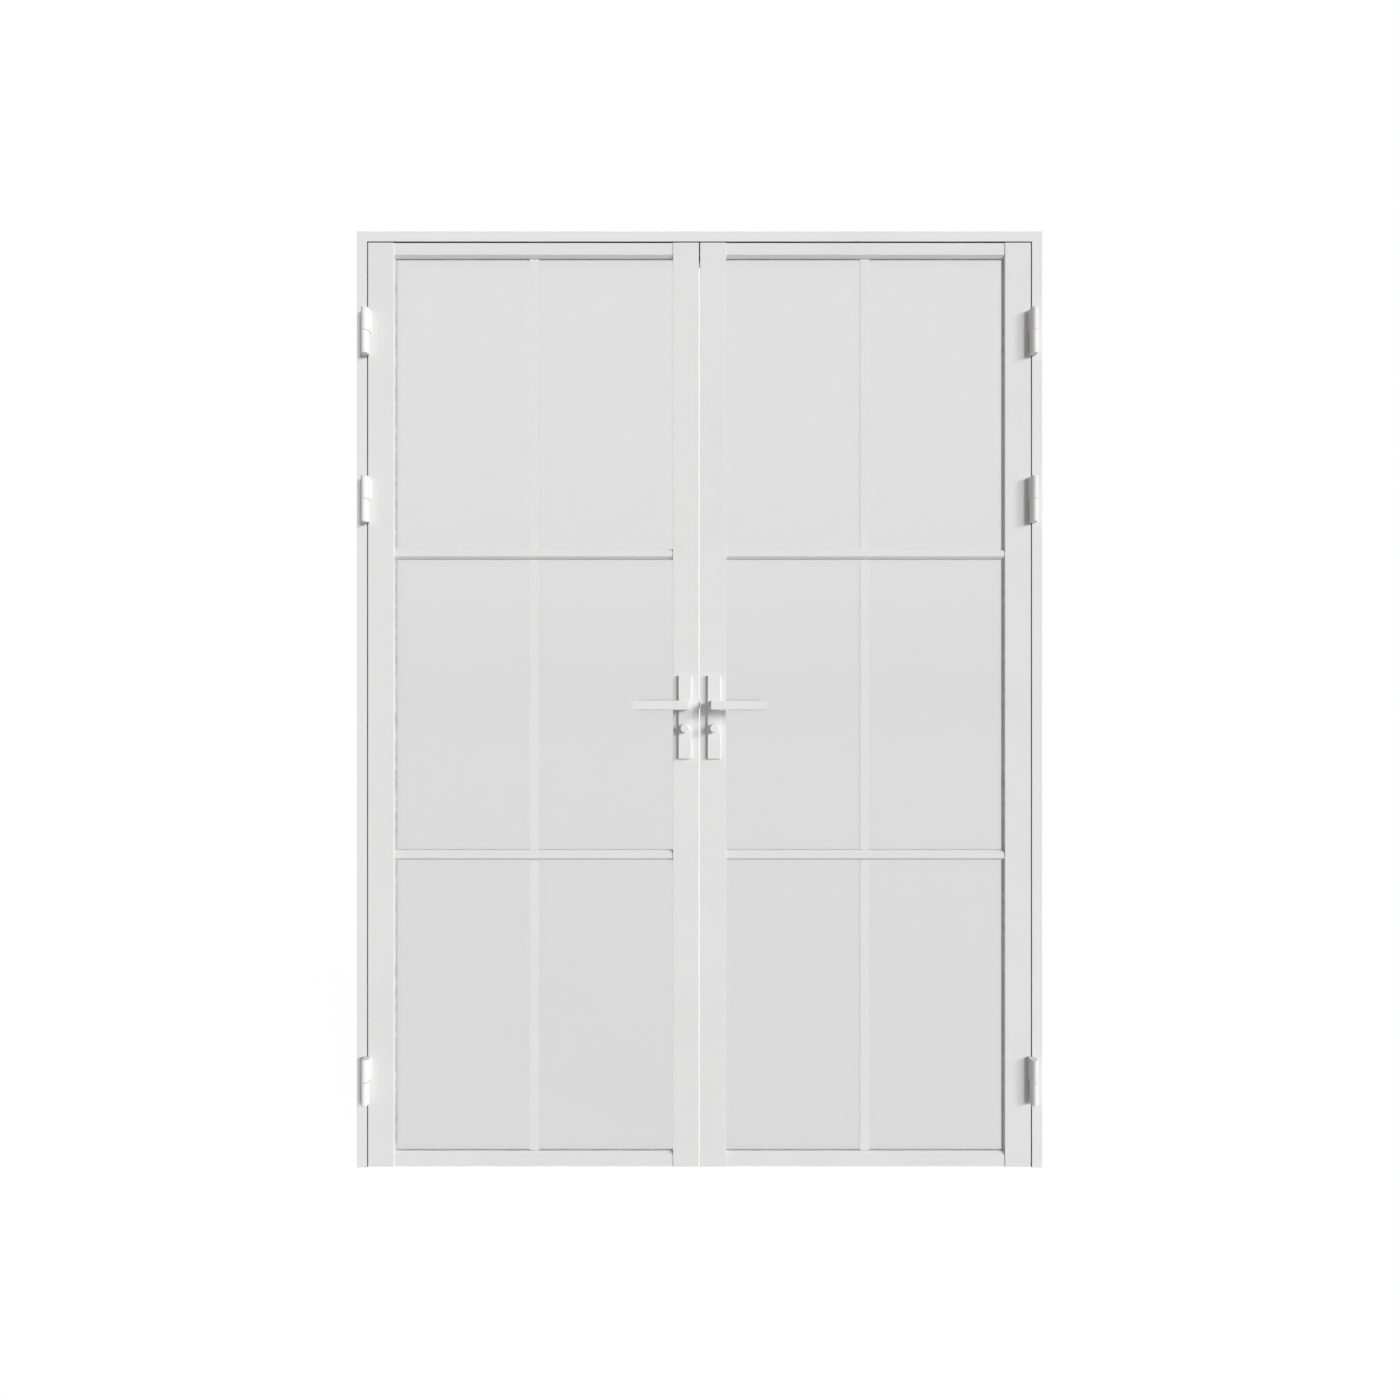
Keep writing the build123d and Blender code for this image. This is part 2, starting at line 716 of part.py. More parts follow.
# Frame members

def frame_outline(edge, outward):
    """The frame section as (across, y) points, from the rebate face outwards."""
    def across(distance):
        return edge + outward * distance

    outer = [(across(0), leaf_front), (across(frame_face), leaf_front),
             (across(frame_face), frame_back), (across(-stop_width), frame_back),
             (across(-stop_width), stop_front), (across(0), stop_front)]
    w = steel_wall
    inner = [(across(w), leaf_front + w), (across(frame_face - w), leaf_front + w),
             (across(frame_face - w), frame_back - w), (across(w - stop_width), frame_back - w),
             (across(w - stop_width), stop_front + w), (across(w), stop_front + w)]
    return outer, inner


def mitre_wedge(across, up):
    """One side of the mitre line at the right corner. across and up are +1 or -1."""
    reach = 2 * frame_face + 2 * stop_width
    points = [(frame_inner - reach, head_under - reach), (frame_inner + reach, head_under + reach),
              (frame_inner + across * reach, head_under + up * reach)]
    face = make_face(Polyline(*points, close=True))
    return elevation_prism(face, leaf_front - 1, frame_back + 1)


def right_jamb():
    """The right jamb: a hollow rebated section, closed at the foot and mitred on top."""
    outer, inner = frame_outline(frame_inner, 1)
    bar = plan_prism(outer, 0, head_top + stop_width)
    bar -= plan_prism(inner, foot_plate, head_top + stop_width)
    bar -= mitre_wedge(-1, 1)
    for z in fixing_heights:
        bar -= rod_x(0, z, fixing_radius, frame_inner - 1, frame_outer + 1)
    return bar


def head():
    """The head: the same section on its side, mitred at both ends, with the bolt hole."""
    outer, inner = frame_outline(head_under, 1)
    outline = [(y, z) for z, y in outer]
    hollow = [(y, z) for z, y in inner]
    bar = side_prism(outline, -frame_outer, frame_outer) - side_prism(hollow, -frame_outer, frame_outer)
    wedge = mitre_wedge(1, -1)
    bar = bar - wedge - mirrored(wedge)
    for x in (-head_fixing_x, head_fixing_x):
        bar -= rod_z(x, 0, fixing_radius, head_under - 1, head_top + 1)
    return bar - rod_z(top_bolt_x, 0, bolt_radius + 1, head_under - 1, head_under + steel_wall + 1)


def head_keep():
    """The thick plate inside the head that the top bolt enters."""
    x = top_bolt_x
    z0 = head_under + steel_wall
    y0, y1 = leaf_front + steel_wall + keep_thickness, stop_front - keep_thickness
    plate = block(x - keep_reach, x + keep_reach, y0, y1, z0, z0 + keep_thickness)
    return plate - rod_z(x, 0, bolt_radius + keep_play, z0 - 1, z0 + keep_thickness + 1)


def frame_seals():
    """The rubber strips on the stops, and the thin ones that close the gaps round the pair."""
    seal_back = stop_front
    seal_front = stop_front - seal_thickness
    offset = (stop_width - seal_width) / 2
    x1 = frame_inner - offset
    x0 = x1 - seal_width
    z1 = head_under - offset
    right = block(x0, x1, seal_front, seal_back, part_play, z1 - seal_width)
    top = block(-x1, x1, seal_front, seal_back, z1 - seal_width, z1)
    y0 = leaf_front + head_seal_setback
    low = head_under - gap_seal_thickness
    under = block(-frame_inner + fit_gap, frame_inner - fit_gap, y0, y0 + gap_seal_width, low, head_under)
    y0 = leaf_front + side_seal_setback
    beside = block(frame_inner - gap_seal_thickness, frame_inner, y0, y0 + gap_seal_width,
                   part_play, low - part_play)
    return grouped([mirrored(right), top, right, mirrored(beside), under, beside])


# Build every node

os.makedirs("parts", exist_ok=True)


def save(node, shape):
    """Write one sub-part."""
    export_step(shape, "parts/" + node + ".step")


def both(name, shape):
    """Write the same piece for both leaves."""
    save("right_" + name, shape)
    save("left_" + name, mirrored(shape))


def leaf_pieces():
    """What both leaves have alike."""
    both("hinge_stile", stile(leaf_outer, -1))
    both("bottom_rail", rail(leaf_bottom, 1))
    both("top_rail", rail(leaf_top, -1))
    middles = [bottom - bar_height / 2 for bottom in lite_bottoms[1:]]
    both("glazing_bars", grouped([glazing_bar(z) for z in middles]))
    both("glass", grouped([pane(bottom) for bottom in lite_bottoms]))
    fronts = [front_gasket(bottom) for bottom in lite_bottoms]
    both("glazing_tapes", grouped(fronts + [tape_ring(bottom, glass_back) for bottom in lite_bottoms]))
    both("glass_strips", grouped([s for bottom in lite_bottoms for s in strips(bottom)]))
    both("glazing_beads", grouped([b for bottom in lite_bottoms for b in lite_beads(bottom)]))
    both("hinge_barrels", grouped([upper_barrel(z) for z in hinge_heights]))
    both("front_plate", front_plate())
    both("rear_plate", rear_plate())
    bolts = [plate_bolt(lever_height + plate_bolt_above), plate_bolt(lever_height - plate_bolt_below)]
    both("lock_screws", grouped(bolts + [face_screw(z) for z in face_screw_heights()]))
    both("front_lever", lever(-1))
    both("rear_lever", lever(1))
    both("spindle", square_spindle(lever_height, spindle_side, -spindle_length / 2, spindle_length / 2))
    both("thumb_turn", thumb_turn())
    both("coin_release", coin_release())
    both("turn_spindle", square_spindle(turn_height, turn_spindle_side,
                                        plate_front - turn_socket_depth + 2 * part_play,
                                        leaf_back + plate_thickness - 2 * part_play))


def active_leaf():
    """The lock stile and the lock of the left leaf."""
    save("left_lock_stile", mirrored(stile(leaf_inner, 1) - lock_cuts()))
    save("left_face_plate", mirrored(face_plate([latch_window(), deadbolt_window()])))
    case = case_shell(case_front) - latch_window() - deadbolt_window()
    save("left_lock_case", mirrored(case))
    follower = nosed_follower(lever_height, follower_radius, nose_reach, 0)
    save("left_follower", mirrored(follower - square_hole(lever_height, spindle_side)))
    save("left_latch_carriage", mirrored(latch_carriage()))
    save("left_latch_roller", mirrored(latch_roller()))
    save("left_roller_pin", mirrored(roller_pin()))
    save("left_deadbolt", mirrored(deadbolt()))
    turn = nosed_follower(turn_height, release_radius, turn_nose_reach, 45)
    save("left_turn_follower", mirrored(turn - square_hole(turn_height, turn_spindle_side)))


def passive_leaf():
    """The lock stile, the strike and the shoot bolts of the right leaf."""
    bar = stile(leaf_inner, 1) - lock_cuts()
    for x, z0 in ((top_bolt_x, leaf_top - 2 * steel_wall), (bottom_bolt_x, leaf_bottom - steel_wall)):
        bar -= rod_z(x, 0, bolt_radius + part_play, z0, z0 + 3 * steel_wall)
    save("right_lock_stile", bar)
    save("right_face_plate", face_plate([strike_window(), deadbolt_window()]))
    half_t = gear_thickness / 2 + part_play
    half_x = rack_thickness / 2 + part_play
    case = case_shell(passive_case_front)
    for x, z0, z1 in ((spindle_x + rack_offset, lever_height, lever_height + case_top),
                      (spindle_x - rack_offset, lever_height - case_bottom, lever_height)):
        case -= block(x - half_x, x + half_x, -half_t, half_t, z0 - 1, z1 + 1)
    save("right_lock_case", case)
    save("right_pinion", pinion())
    save("right_top_rod", shoot_rod(1))
    save("right_bottom_rod", shoot_rod(-1))
    turn = nosed_follower(turn_height, release_radius, turn_nose_reach, 0)
    save("right_turn_follower", turn - square_hole(turn_height, turn_spindle_side))


def frame_pieces():
    """The frame and the halves of the hinges that belong to it."""
    jamb = right_jamb()
    save("right_jamb", jamb)
    save("left_jamb", mirrored(jamb))
    save("head", head())
    save("head_keep", head_keep())
    save("frame_seals", frame_seals())
    for node, maker in (("frame_hinge_barrels", lower_barrel), ("hinge_pins", hinge_pin),
                        ("hinge_washers", hinge_washer)):
        right = [maker(z) for z in hinge_heights]
        save(node, grouped(right + [mirrored(piece) for piece in right]))


frame_pieces()
leaf_pieces()
active_leaf()
passive_leaf()
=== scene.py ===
# %% [markdown]
# # A pair of white steel french doors
#
# The construction comes from the imported frame: every stile, rail, pane, hinge and lock
# It gives each part its finish, adds the small fasteners and weld beads that repeat, and sets
# up the light and the camera. Sizes are in metres, +Z is up, and the room that the doors
# open into lies on the -Y side.

# %% Load the imported frame
import json
import math

import bpy
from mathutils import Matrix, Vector


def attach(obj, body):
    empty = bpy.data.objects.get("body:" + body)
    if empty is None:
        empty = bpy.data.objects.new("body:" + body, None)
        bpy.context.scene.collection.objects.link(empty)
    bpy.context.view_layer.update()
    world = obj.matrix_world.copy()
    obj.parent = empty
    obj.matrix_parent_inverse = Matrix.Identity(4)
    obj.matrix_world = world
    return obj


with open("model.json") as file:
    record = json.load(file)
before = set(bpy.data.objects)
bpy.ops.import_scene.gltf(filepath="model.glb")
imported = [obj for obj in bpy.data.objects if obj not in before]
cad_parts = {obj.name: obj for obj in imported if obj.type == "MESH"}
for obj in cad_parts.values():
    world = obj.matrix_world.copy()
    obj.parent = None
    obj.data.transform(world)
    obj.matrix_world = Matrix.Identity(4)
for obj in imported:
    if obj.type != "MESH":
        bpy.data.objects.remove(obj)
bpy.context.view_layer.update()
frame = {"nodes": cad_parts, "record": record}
nodes = frame["nodes"]
MM = 0.001

# %% [markdown]
# ## Small helpers for materials
#
# Every finish here starts from the Principled shader. A finish becomes believable through
# small, slow changes: the colour drifts a little, the gloss drifts a little, and the
# surface has a grain of its own size. These helpers add one noise each, read from Object
# coordinates, so that the pattern stays on the part when the part moves.


# %% Material helpers
def start_material(name, colour, roughness, metallic=0.0):
    """A Principled material, its node tree, and the coordinates that its patterns read."""
    material = bpy.data.materials.new(name)
    material.use_nodes = True
    tree = material.node_tree
    shader = tree.nodes["Principled BSDF"]
    shader.inputs["Base Color"].default_value = (*colour, 1.0)
    shader.inputs["Roughness"].default_value = roughness
    shader.inputs["Metallic"].default_value = metallic
    place = tree.nodes.new("ShaderNodeTexCoord").outputs["Object"]
    return material, tree, shader, place


def noise(tree, place, size, detail=2.0, stretch=(1.0, 1.0, 1.0)):
    """Soft noise whose blobs are about size metres across."""
    mapping = tree.nodes.new("ShaderNodeMapping")
    mapping.inputs["Scale"].default_value = stretch
    tree.links.new(place, mapping.inputs["Vector"])
    texture = tree.nodes.new("ShaderNodeTexNoise")
    texture.inputs["Scale"].default_value = 1.0 / size
    texture.inputs["Detail"].default_value = detail
    tree.links.new(mapping.outputs["Vector"], texture.inputs["Vector"])
    return texture.outputs["Fac"]


def spread(tree, value, low, high):
    """Maps the middle of a noise to the range from low to high."""
    mapped = tree.nodes.new("ShaderNodeMapRange")
    mapped.inputs["From Min"].default_value = 0.3
    mapped.inputs["From Max"].default_value = 0.7
    mapped.inputs["To Min"].default_value = low
    mapped.inputs["To Max"].default_value = high
    tree.links.new(value, mapped.inputs["Value"])
    return mapped.outputs["Result"]


def tint(tree, shader, value, low, high):
    """Lets the colour drift between two near shades."""
    mix = tree.nodes.new("ShaderNodeMix")
    mix.data_type = "RGBA"
    mix.inputs["A"].default_value = (*low, 1.0)
    mix.inputs["B"].default_value = (*high, 1.0)
    tree.links.new(value, mix.inputs["Factor"])
    tree.links.new(mix.outputs["Result"], shader.inputs["Base Color"])


def bump(tree, shader, value, height, strength=1.0):
    """Turns a noise into relief of about height metres."""
    relief = tree.nodes.new("ShaderNodeBump")
    relief.inputs["Distance"].default_value = height
    relief.inputs["Strength"].default_value = strength
    tree.links.new(value, relief.inputs["Height"])
    tree.links.new(relief.outputs["Normal"], shader.inputs["Normal"])


# %% [markdown]
# ## White powder coat
#
# The steel is sprayed with a dry white powder that melts in an oven. It flows into a
# satin skin with a faint orange peel about a millimetre and a half across, and thick and
# thin places differ a little in gloss. Frame, leaves and handles leave the oven in three
# batches, so each gets its own shade.


# %% Powder coat
def powder_coat(name, shade, roughness):
    """A satin white paint with orange peel."""
    colour = (shade, shade, shade * 0.996)
    material, tree, shader, place = start_material(name, colour, roughness)
    cloud = noise(tree, place, 0.25, detail=3.0)
    low = tuple(c * 0.985 for c in colour)
    high = tuple(min(1.0, c * 1.012) for c in colour)
    tint(tree, shader, spread(tree, cloud, 0.0, 1.0), low, high)
    gloss = noise(tree, place, 0.03, detail=4.0)
    drift = spread(tree, gloss, roughness - 0.05, roughness + 0.05)
    tree.links.new(drift, shader.inputs["Roughness"])
    bump(tree, shader, noise(tree, place, 1.6 * MM), 0.05 * MM, 0.35)
    shader.inputs["Specular IOR Level"].default_value = 0.35
    return material


frame_paint = powder_coat("frame_powder_coat", 0.76, 0.48)
leaf_paint = powder_coat("leaf_powder_coat", 0.735, 0.48)
handle_paint = powder_coat("handle_enamel", 0.755, 0.40)
print("paints:", frame_paint.name, leaf_paint.name, handle_paint.name)

# %% [markdown]
# ## Satin glass
#
# The panes are laminated sheets with a thin reflecting coat, as used against the sun.
# Nothing behind them can be made out in daylight, and no shadow can be seen on them:
# they give back a soft picture of the bright room. A share of metal in the shader does
# the coat, the rest is a rough refraction. Shadow rays pass through a clear shader
# instead, because a path tracer would otherwise leave the room behind too dark.


# %% Glass
def satin_glass(name, colour, roughness, coat):
    """Etched laminated glass with a reflecting coat, which lets light rays through."""
    material, tree, shader, place = start_material(name, colour, roughness, metallic=coat)
    shader.inputs["Transmission Weight"].default_value = 1.0
    shader.inputs["IOR"].default_value = 1.5
    bump(tree, shader, noise(tree, place, 0.9 * MM), 0.02 * MM, 0.25)
    clear = tree.nodes.new("ShaderNodeBsdfTransparent")
    clear.inputs["Color"].default_value = (0.30, 0.305, 0.30, 1.0)
    path = tree.nodes.new("ShaderNodeLightPath")
    mix = tree.nodes.new("ShaderNodeMixShader")
    tree.links.new(path.outputs["Is Shadow Ray"], mix.inputs["Fac"])
    tree.links.new(shader.outputs["BSDF"], mix.inputs[1])
    tree.links.new(clear.outputs["BSDF"], mix.inputs[2])
    tree.links.new(mix.outputs["Shader"], tree.nodes["Material Output"].inputs["Surface"])
    return material


glass = satin_glass("satin_glass", (0.815, 0.818, 0.815), 0.15, 0.86)
print("glass:", glass.name)

# %% [markdown]
# ## Rubber, brass, plated steel and nylon
#
# The parts that seal, turn and lock are hardly seen while the doors are closed, but they
# come into view as soon as a leaf opens. Rubber is dark and nearly matt, with a fine
# bloom. Zinc-plated steel shows the lines of the file or the press along its length, so
# its noise is stretched. Brass and nylon are turned, and keep a soft sheen.


# %% Other finishes
def rubber(name, shade):
    """Sealing rubber with a dusty bloom."""
    material, tree, shader, place = start_material(name, (shade,) * 3, 0.7)
    cloud = noise(tree, place, 0.02, detail=4.0)
    tint(tree, shader, spread(tree, cloud, 0.0, 1.0), (shade * 0.85,) * 3, (shade * 1.2,) * 3)
    bump(tree, shader, noise(tree, place, 0.6 * MM), 0.04 * MM, 0.5)
    return material


def brushed_metal(name, colour, roughness, stretch):
    """A metal whose fine lines run along one direction."""
    material, tree, shader, place = start_material(name, colour, roughness, metallic=1.0)
    lines = noise(tree, place, 0.5 * MM, detail=3.0, stretch=stretch)
    low = tuple(c * 0.9 for c in colour)
    tint(tree, shader, spread(tree, lines, 0.0, 1.0), low, colour)
    drift = spread(tree, lines, roughness - 0.07, roughness + 0.09)
    tree.links.new(drift, shader.inputs["Roughness"])
    bump(tree, shader, lines, 0.01 * MM, 0.4)
    return material


def turned_nylon(name):
    """Off-white nylon with faint turning rings."""
    material, tree, shader, place = start_material(name, (0.74, 0.73, 0.70), 0.42)
    shader.inputs["Subsurface Weight"].default_value = 0.1
    shader.inputs["Subsurface Radius"].default_value = (0.002, 0.002, 0.002)
    rings = noise(tree, place, 0.6 * MM, stretch=(0.02, 0.02, 1.0))
    bump(tree, shader, rings, 0.02 * MM, 0.5)
    return material


seal_rubber = rubber("seal_rubber", 0.03)
grey_gasket = rubber("grey_gasket", 0.6)
washer_brass = brushed_metal("turned_brass", (0.76, 0.60, 0.30), 0.30, (1.0, 1.0, 0.02))
plated_steel = brushed_metal("plated_steel", (0.60, 0.61, 0.62), 0.34, (1.0, 1.0, 0.02))
nylon = turned_nylon("turned_nylon")
print("other finishes:", seal_rubber.name, washer_brass.name, plated_steel.name, nylon.name)

# %% [markdown]
# ## Giving every part its finish
#
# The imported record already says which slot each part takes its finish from. One
# dictionary turns a slot into a material, so no part is forgotten, and a new part would
# be dressed by its slot alone.

# %% Dress the parts
finishes = {
    "frame_paint": frame_paint,
    "leaf_paint": leaf_paint,
    "hardware_paint": handle_paint,
    "satin_glass": glass,
    "rubber": seal_rubber,
    "grey_gasket": grey_gasket,
    "brass": washer_brass,
    "bright_steel": plated_steel,
    "roller_nylon": nylon,
}
for part in frame["record"]["subparts"]:
    mesh = nodes[part["node"]].data
    mesh.materials.clear()
    mesh.materials.append(finishes[part["material_slot"]])

# %% [markdown]
# ## Small fasteners that repeat
#
# On the real doors, small steel screws hold the glazing beads from the rear, and
# painted caps close the through-bolts in the handle plates and the fixing holes in the
# frame. A grub screw under each lever's neck locks it on the spindle. They are all short
# round heads with a socket, turned from bar, and differ only in size and place. So one
# Geometry Nodes tree makes a head from named sizes and sets it on every listed point.

# %% A tree for screws and caps
def maths(tree, operation, first, second):
    """One Math node between a socket and a socket or number."""
    node = tree.nodes.new("ShaderNodeMath")
    node.operation = operation
    tree.links.new(first, node.inputs[0])
    if isinstance(second, float):
        node.inputs[1].default_value = second
    else:
        tree.links.new(second, node.inputs[1])
    return node.outputs["Value"]


def new_tree(name, sizes):
    """A Geometry Nodes tree with a geometry, the named sizes and a material as inputs."""
    tree = bpy.data.node_groups.new(name, "GeometryNodeTree")
    tree.interface.new_socket("Places", in_out="INPUT", socket_type="NodeSocketGeometry")
    for size in sizes:
        tree.interface.new_socket(size, in_out="INPUT", socket_type="NodeSocketFloat")
    tree.interface.new_socket("Finish", in_out="INPUT", socket_type="NodeSocketMaterial")
    tree.interface.new_socket("Pieces", in_out="OUTPUT", socket_type="NodeSocketGeometry")
    return tree, tree.nodes.new("NodeGroupInput").outputs


def wire(tree, kind, **inputs):
    """A node whose inputs are given by name, with spaces written as underscores."""
    node = tree.nodes.new(kind)
    for name, value in inputs.items():
        socket = node.inputs[name.replace("_", " ")]
        if isinstance(value, bpy.types.NodeSocket):
            tree.links.new(value, socket)
        else:
            socket.default_value = value
    return node


def close_tree(tree, sizes, instances):
    """Makes the instances real, gives them the finish and hands them out."""
    real = wire(tree, "GeometryNodeRealizeInstances", Geometry=instances)
    dressed = wire(tree, "GeometryNodeSetMaterial", Geometry=real.outputs["Geometry"],
                   Material=sizes["Finish"])
    out = tree.nodes.new("NodeGroupOutput")
    tree.links.new(dressed.outputs["Geometry"], out.inputs["Pieces"])


SUNK = 0.3 * MM
HEAD_SIDES = 24
EASED_TOP = 0.88
screws, sizes = new_tree("round heads", ["Radius", "Height", "Socket Share", "Socket Depth"])
blank = wire(screws, "GeometryNodeMeshCylinder", Vertices=HEAD_SIDES, Radius=sizes["Radius"],
             Depth=maths(screws, "ADD", sizes["Height"], SUNK))
eased = wire(screws, "GeometryNodeScaleElements", Geometry=blank.outputs["Mesh"],
             Selection=blank.outputs["Top"], Scale=EASED_TOP)
rim = wire(screws, "GeometryNodeExtrudeMesh", Mesh=eased.outputs["Geometry"],
           Selection=blank.outputs["Top"], Offset_Scale=0.0)
socket = wire(screws, "GeometryNodeScaleElements", Geometry=rim.outputs["Mesh"],
              Selection=rim.outputs["Top"], Scale=sizes["Socket Share"])
inward = maths(screws, "MULTIPLY", sizes["Socket Depth"], -1.0)
recess = wire(screws, "GeometryNodeExtrudeMesh", Mesh=socket.outputs["Geometry"],
              Selection=rim.outputs["Top"], Offset_Scale=inward)
rise = maths(screws, "MULTIPLY", maths(screws, "SUBTRACT", sizes["Height"], SUNK), 0.5)
stand = wire(screws, "GeometryNodeTransform", Geometry=recess.outputs["Mesh"],
             Translation=wire(screws, "ShaderNodeCombineXYZ", Z=rise).outputs["Vector"])
facing = screws.nodes.new("GeometryNodeInputNamedAttribute")
facing.data_type = "FLOAT_VECTOR"
facing.inputs["Name"].default_value = "facing"
turned = wire(screws, "FunctionNodeAlignRotationToVector", Vector=facing.outputs["Attribute"])
turned.axis = "Z"
placed = wire(screws, "GeometryNodeInstanceOnPoints", Points=sizes["Places"],
              Instance=stand.outputs["Geometry"], Rotation=turned.outputs["Rotation"])
close_tree(screws, sizes, placed.outputs["Instances"])


def grow(name, tree, places, edges, facing, values, finish, body):
    """Runs a tree on listed points and keeps the result as one plain mesh on a body."""
    seeds = bpy.data.meshes.new(name + "_places")
    seeds.from_pydata(places, edges, [])
    ways = seeds.attributes.new("facing", "FLOAT_VECTOR", "POINT")
    ways.data.foreach_set("vector", [v for _ in places for v in facing])
    holder = bpy.data.objects.new(name + "_places", seeds)
    bpy.context.scene.collection.objects.link(holder)
    modifier = holder.modifiers.new("grow", "NODES")
    modifier.node_group = tree
    for item in tree.interface.items_tree:
        if item.in_out == "INPUT" and item.name in values:
            modifier[item.identifier] = values[item.name]
        if item.in_out == "INPUT" and item.name == "Finish":
            modifier[item.identifier] = finish
    graph = bpy.context.evaluated_depsgraph_get()
    mesh = bpy.data.meshes.new_from_object(holder.evaluated_get(graph))
    holder.modifiers.clear()
    bpy.data.objects.remove(holder)
    mesh.name = name
    piece = bpy.data.objects.new(name, mesh)
    bpy.context.scene.collection.objects.link(piece)
    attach(piece, body)
    print(name, "has", len(mesh.polygons), "faces on", body)


print("tree:", screws.name, "with", len(screws.nodes), "nodes")

# %% [markdown]
# ## Screws in the glazing beads
#
# The beads are clipped in from the rear and each is held by three short screws, so that
# a broken pane can be replaced. The beads along the rails have a bevel towards the glass,
# so their screws sit close to the rail, on the flat. Those along the stiles are square,
# and theirs sit in the middle.

# %% Screws in the glazing beads
SIGHT_INNER, SIGHT_OUTER = 0.0665, 0.7665
LITE_BOTTOMS = [0.037, 0.794667, 1.552333]
LITE_HEIGHT = 0.732667
BEAD_MIDDLE, BEAD_REAR = 0.005, 0.0185
FLAT_MIDDLE = 0.008
THIRDS = [1 / 6, 3 / 6, 5 / 6]
bead_points = []
for bottom in LITE_BOTTOMS:
    for share in THIRDS:
        along_z = bottom + LITE_HEIGHT * share
        along_x = SIGHT_INNER + (SIGHT_OUTER - SIGHT_INNER) * share
        bead_points.append((SIGHT_INNER - BEAD_MIDDLE, along_z))
        bead_points.append((SIGHT_OUTER + BEAD_MIDDLE, along_z))
        bead_points.append((along_x, bottom - FLAT_MIDDLE))
        bead_points.append((along_x, bottom + LITE_HEIGHT + FLAT_MIDDLE))


def head_sizes(radius, height, share, depth):
    """The tree's inputs for one kind of head, in millimetres and a share of its width."""
    return {"Radius": radius * MM, "Height": height * MM, "Socket Share": share, "Socket Depth": depth * MM}


screw_sizes = head_sizes(1.9, 0.6, 0.45, 0.7)
for side, mark in (("left", -1), ("right", 1)):
    grow(side + "_bead_screws", screws, [(mark * x, BEAD_REAR, z) for x, z in bead_points], [],
         (0, 1, 0), screw_sizes, plated_steel, side + "_leaf")

# %% [markdown]
# ## Caps and grub screws
#
# A flat cap hides the upper handle bolt on each front plate, and wider caps hide the
# bolts that fix the frame to the wall, inside the rebate. The grub screws under the lever
# necks are the only way to take a lever off, so they stay reachable, on the underside.

# %% Caps and grub screws
SPINDLE_X, PLATE_FRONT, BOLT_HEIGHT = 0.0365, -0.029, 1.1925
NECK_UNDER, NECK_MIDDLE = 1.14875, 0.036
cap_sizes = head_sizes(3.2, 0.35, 0.4, 0.25)
grub_sizes = head_sizes(1.8, 0.25, 0.55, 0.5)
for side, mark in (("left", -1), ("right", 1)):
    grow(side + "_plate_cap", screws, [(mark * SPINDLE_X, PLATE_FRONT, BOLT_HEIGHT)], [],
         (0, -1, 0), cap_sizes, handle_paint, side + "_leaf")
    necks = [(mark * SPINDLE_X, y, NECK_UNDER) for y in (-NECK_MIDDLE, NECK_MIDDLE)]
    grow(side + "_lever_grub_screws", screws, necks, [], (0, 0, -1), grub_sizes,
         plated_steel, side + "_handle")

REBATE_X, FIXING_Y = 0.8345, 0.0
FIXING_HEIGHTS = [0.25, 0.85, 1.50, 2.10]
fixing_sizes = head_sizes(6.2, 0.6, 0.3, 0.3)
for side, mark in (("left", -1), ("right", 1)):
    holes = [(mark * REBATE_X, FIXING_Y, z) for z in FIXING_HEIGHTS]
    grow(side + "_fixing_caps", screws, holes, [], (-mark, 0, 0), fixing_sizes,
         frame_paint, "frame")

# %% [markdown]
# ## Weld beads on the hinges
#
# Each hinge barrel stands on a small steel foot that is welded along its edge, with short
# overlapping pools of melted steel. The tree turns each foot's edge into a curve, sets a
# low round pool every millimetre and a half along it, and varies their size a little
# with a fixed seed. Paint covers them like the steel around them.

# %% Weld beads
SMALLEST_POOL, LARGEST_POOL, SEED = 0.8, 1.15, 7
welds, sizes = new_tree("weld beads", ["Bead Radius", "Pitch"])
seam = wire(welds, "GeometryNodeMeshToCurve", Mesh=sizes["Places"])
pools = wire(welds, "GeometryNodeCurveToPoints", Curve=seam.outputs["Curve"])
pools.mode = "LENGTH"
welds.links.new(sizes["Pitch"], pools.inputs["Length"])
pool = wire(welds, "GeometryNodeMeshIcoSphere", Radius=sizes["Bead Radius"])
vary = welds.nodes.new("FunctionNodeRandomValue")
vary.data_type = "FLOAT"
limits = [each for each in vary.inputs if each.enabled and each.name in ("Min", "Max")]
limits[0].default_value = SMALLEST_POOL
limits[1].default_value = LARGEST_POOL
vary.inputs["Seed"].default_value = SEED
share = next(each for each in vary.outputs if each.enabled)
beads = wire(welds, "GeometryNodeInstanceOnPoints", Points=pools.outputs["Points"],
             Instance=pool.outputs["Mesh"], Scale=share)
close_tree(welds, sizes, beads.outputs["Instances"])

